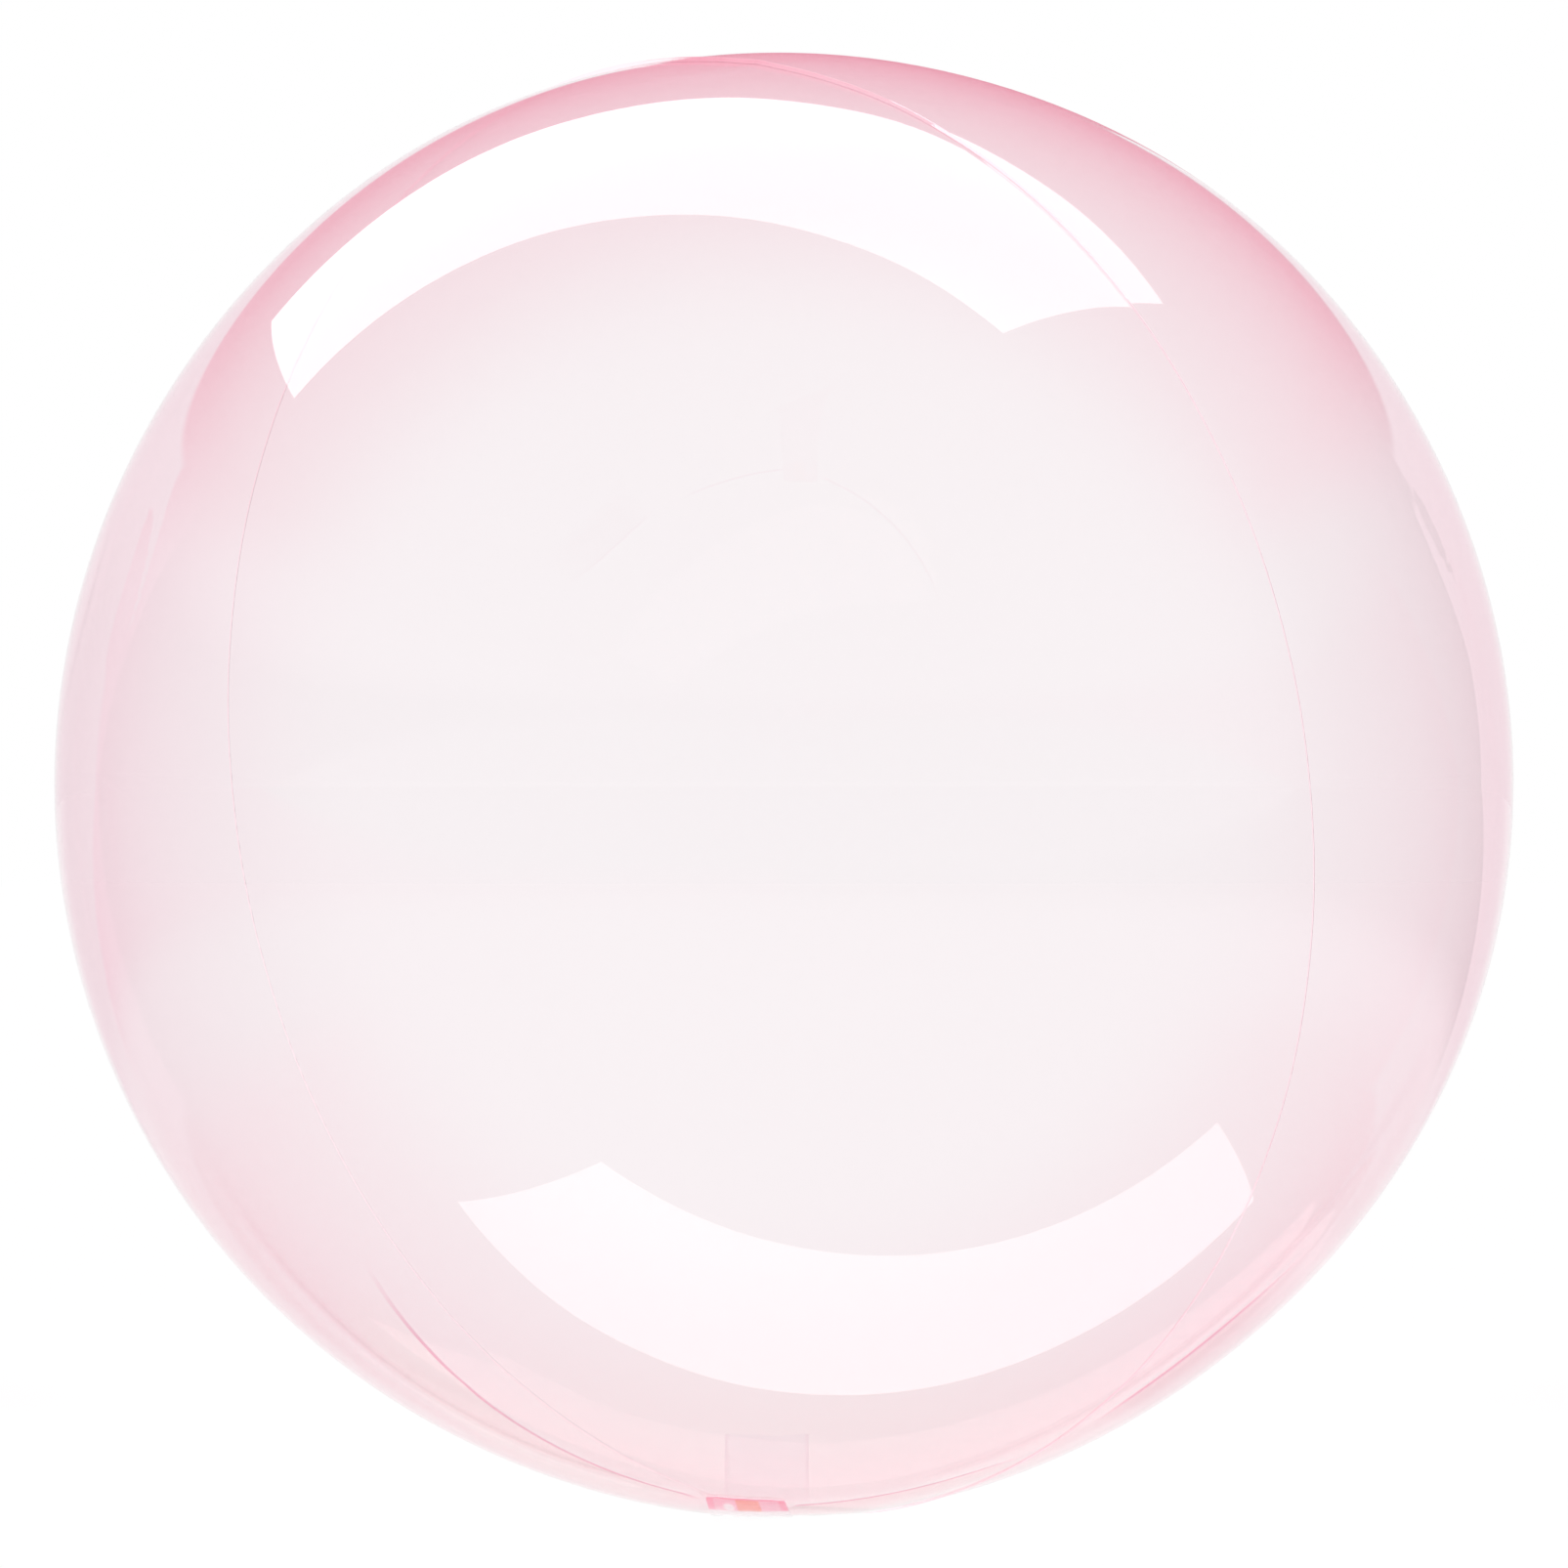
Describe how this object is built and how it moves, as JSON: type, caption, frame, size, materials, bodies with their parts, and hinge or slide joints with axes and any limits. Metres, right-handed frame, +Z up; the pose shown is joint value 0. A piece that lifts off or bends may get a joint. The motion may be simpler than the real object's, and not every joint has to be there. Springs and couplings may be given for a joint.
{
  "type": "clear bubble balloon",
  "caption": "Round clear pink bubble balloon of two welded film panels, blown up, with its filling neck folded flat underneath.",
  "frame": {"origin": "on the ground, straight below the middle of the ball, at the small flat spot that it rests on", "axes": "+Z up; the front panel's middle faces -X and -Y, so from -Y the weld shows as a long curve on the right; the neck lies along -Y"},
  "size_m": [0.4746, 0.4748, 0.4753],
  "materials": {
    "film": "clear stretched film, glossy, faint pink tint",
    "doubled_film": "several layers of the same film pressed flat, glossy, stronger pink"
  },
  "bodies": {
    "root": {"front_panel": "film", "back_panel": "film", "neck_tail": "doubled_film"}
  },
  "joints": []
}
